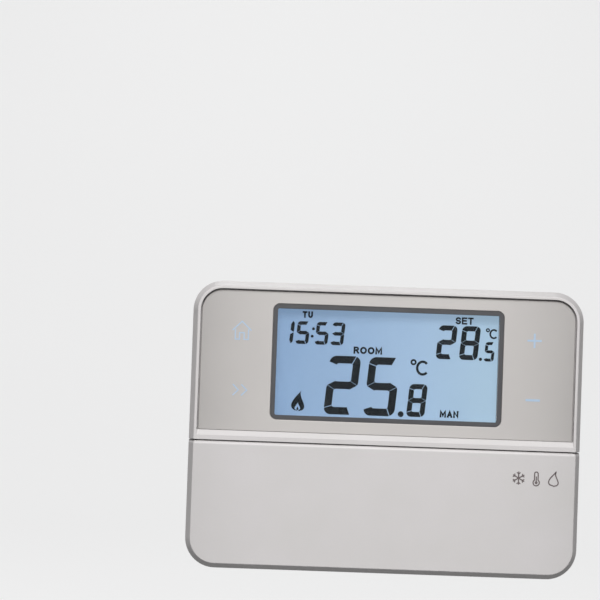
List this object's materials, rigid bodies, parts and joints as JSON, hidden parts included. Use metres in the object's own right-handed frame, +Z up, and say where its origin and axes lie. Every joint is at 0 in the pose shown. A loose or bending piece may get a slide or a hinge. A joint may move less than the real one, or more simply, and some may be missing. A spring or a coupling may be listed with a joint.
{
  "type": "wall thermostat",
  "caption": "Landscape digital wall thermostat: a plug-on front unit with a backlit display, touch keys and a sliding battery cover, on a screw-fixed wall plate.",
  "frame": {"origin": "middle of the wall plate's back face, on the wall, which is the middle of its screw pattern", "axes": "+X to the right as seen from the room, -Y out of the wall towards the room, +Z up"},
  "size_m": [0.12, 0.026, 0.088],
  "materials": {
    "casing": "fine matte texture",
    "panel": "smooth satin",
    "back_casing": "fine matte texture",
    "dark_frame": "satin",
    "clear_window": "polished",
    "lcd_glass": "polished",
    "diffuser": "frosted",
    "led": "moulded",
    "holder": "plain moulded",
    "elastomer": "matte",
    "foam": "conductive foam",
    "board": "solder mask",
    "chip": "moulded epoxy",
    "can": "drawn can",
    "relay_case": "moulded",
    "sensor": "dipped epoxy",
    "header": "moulded",
    "button": "moulded",
    "tray": "plain moulded",
    "cell": "printed sleeve",
    "contact_steel": "nickel plated",
    "screw_steel": "zinc plated",
    "brass": "bright",
    "terminal": "moulded"
  },
  "bodies": {
    "wall_mount": {"wall_plate": "back_casing", "terminal_block": "terminal", "terminal_clamps": "brass", "terminal_screws": "screw_steel", "contact_strips": "brass"},
    "front_unit": {"front_housing": "casing", "rear_cover": "back_casing", "case_screws": "screw_steel", "fascia_panel": "panel", "display_frame": "dark_frame", "display_window": "clear_window", "display_gasket": "elastomer", "lcd_front_glass": "lcd_glass", "lcd_rear_glass": "lcd_glass", "backlight_diffuser": "diffuser", "backlight_leds": "led", "display_holder": "holder", "zebra_strip": "elastomer", "touch_pads": "foam", "main_board": "board", "board_screws": "screw_steel", "controller_chip": "chip", "clock_crystal": "can", "capacitors": "can", "relay": "relay_case", "temperature_sensor": "sensor", "pin_header": "header", "connector_pins": "brass", "reset_switch": "header", "battery_tray": "tray", "battery_plates": "contact_steel", "battery_springs": "contact_steel", "battery_upper": "cell", "battery_lower": "cell"},
    "cover": {"lower_cover": "casing"},
    "button": {"reset_button": "button", "reset_plunger": "button"}
  },
  "joints": [
    {"name": "front_unit_pull", "type": "slide", "parent": "wall_mount", "child": "front_unit", "axis": [0, -1, 0], "range_m": [0, 0.03]},
    {"name": "cover_slide", "type": "slide", "parent": "front_unit", "child": "cover", "axis": [0, 0, -1], "range_m": [0, 0.03]},
    {"name": "reset_press", "type": "slide", "parent": "front_unit", "child": "button", "axis": [0, 1, 0], "range_m": [0, 0.0004], "stiffness_N_per_m": 2500}
  ]
}
